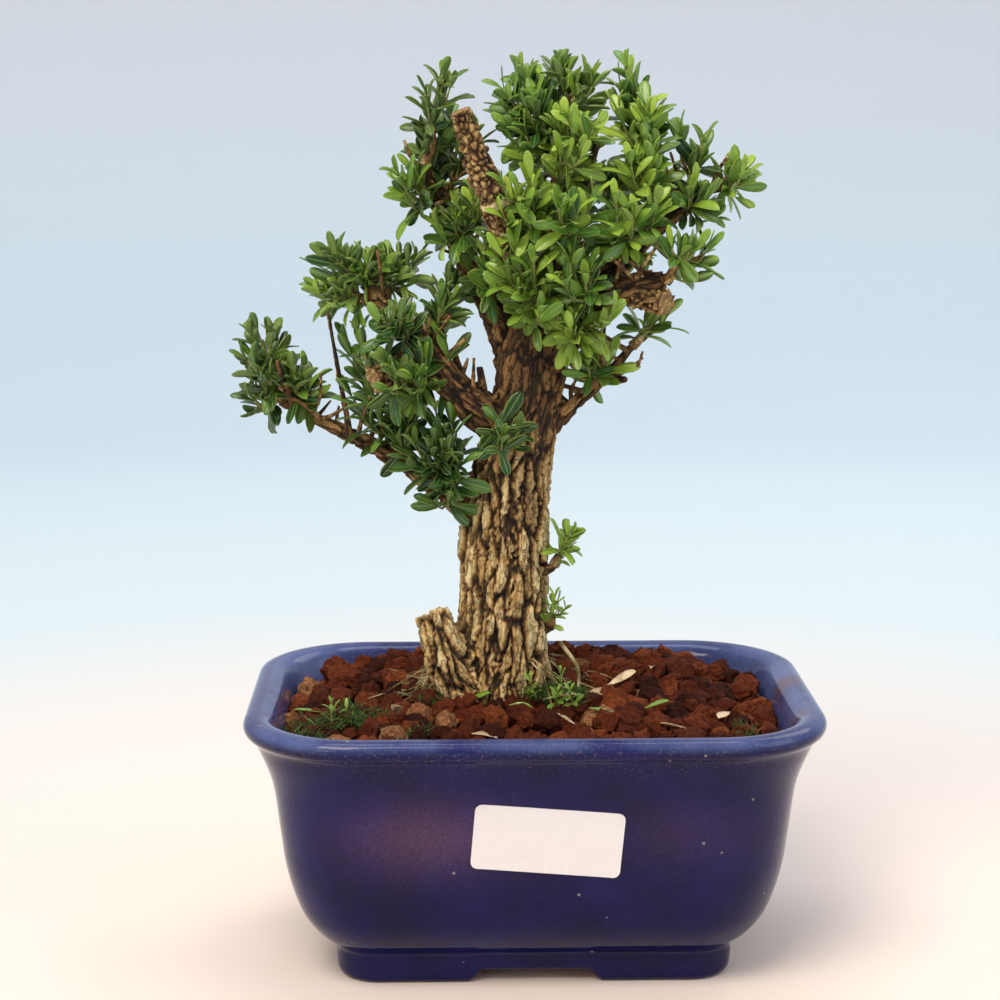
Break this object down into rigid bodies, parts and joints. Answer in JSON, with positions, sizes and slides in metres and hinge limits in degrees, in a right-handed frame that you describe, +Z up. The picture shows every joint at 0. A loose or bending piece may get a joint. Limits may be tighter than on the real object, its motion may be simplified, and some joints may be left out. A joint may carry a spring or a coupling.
{
  "type": "harland boxwood bonsai",
  "caption": "Miniature boxwood tree with fissured trunk and leafy crown, growing in granular soil in an oblong glazed pot with cut-out feet and a blank label.",
  "frame": {"origin": "on the standing surface, under the middle of the whole object's box", "axes": "+Z up along the trunk, +X to the right along the pot's length, -Y towards the viewer, the side with the label"},
  "size_m": [0.1912, 0.132, 0.291],
  "materials": {
    "glaze": "glossy cobalt glaze",
    "paper": "matt coated paper",
    "screen_plastic": "moulded mesh",
    "granules": "matt fired clay granules",
    "bark": "fissured corky bark",
    "leaves": "glossy evergreen leaves"
  },
  "bodies": {
    "root": {"corky_right_spray_1": "leaves", "corky_right_spray_2": "leaves", "corky_right_spray_3": "leaves", "crown_back_spray_1": "leaves", "crown_back_spray_2": "leaves", "crown_back_spray_3": "leaves", "crown_back_spray_4": "leaves", "crown_back_spray_5": "leaves", "crown_back_spray_6": "leaves", "crown_back_spray_7": "leaves", "crown_back_spray_8": "leaves", "crown_back_spray_9": "leaves", "crown_left_spray_1": "leaves", "crown_left_spray_2": "leaves", "crown_left_spray_3": "leaves", "crown_left_spray_4": "leaves", "crown_left_spray_5": "leaves", "crown_left_spray_6": "leaves", "crown_right_spray_1": "leaves", "crown_right_spray_2": "leaves", "crown_right_spray_3": "leaves", "crown_right_spray_4": "leaves", "crown_right_spray_5": "leaves", "crown_right_spray_6": "leaves", "crown_right_spray_7": "leaves", "drain_screen_left": "screen_plastic", "drain_screen_right": "screen_plastic", "label": "paper", "leader_spray_1": "leaves", "leader_spray_2": "leaves", "leader_spray_3": "leaves", "leader_spray_4": "leaves", "leader_spray_5": "leaves", "leader_spray_6": "leaves", "leader_spray_7": "leaves", "leader_spray_8": "leaves", "leader_spray_9": "leaves", "left_low_spray_1": "leaves", "left_low_spray_2": "leaves", "left_low_spray_3": "leaves", "left_low_spray_4": "leaves", "left_low_spray_5": "leaves", "left_low_spray_6": "leaves", "left_low_spray_7": "leaves", "left_main_spray_1": "leaves", "left_main_spray_2": "leaves", "left_main_spray_3": "leaves", "left_main_spray_4": "leaves", "left_main_spray_5": "leaves", "left_main_spray_6": "leaves", "left_main_spray_7": "leaves", "left_main_spray_8": "leaves", "left_main_spray_9": "leaves", "low_sprout_spray_1": "leaves", "pot": "glaze", "right_thin_spray_1": "leaves", "right_thin_spray_2": "leaves", "soil": "granules", "trunk_and_branches": "bark", "trunk_sprout_spray_1": "leaves"}
  },
  "joints": []
}
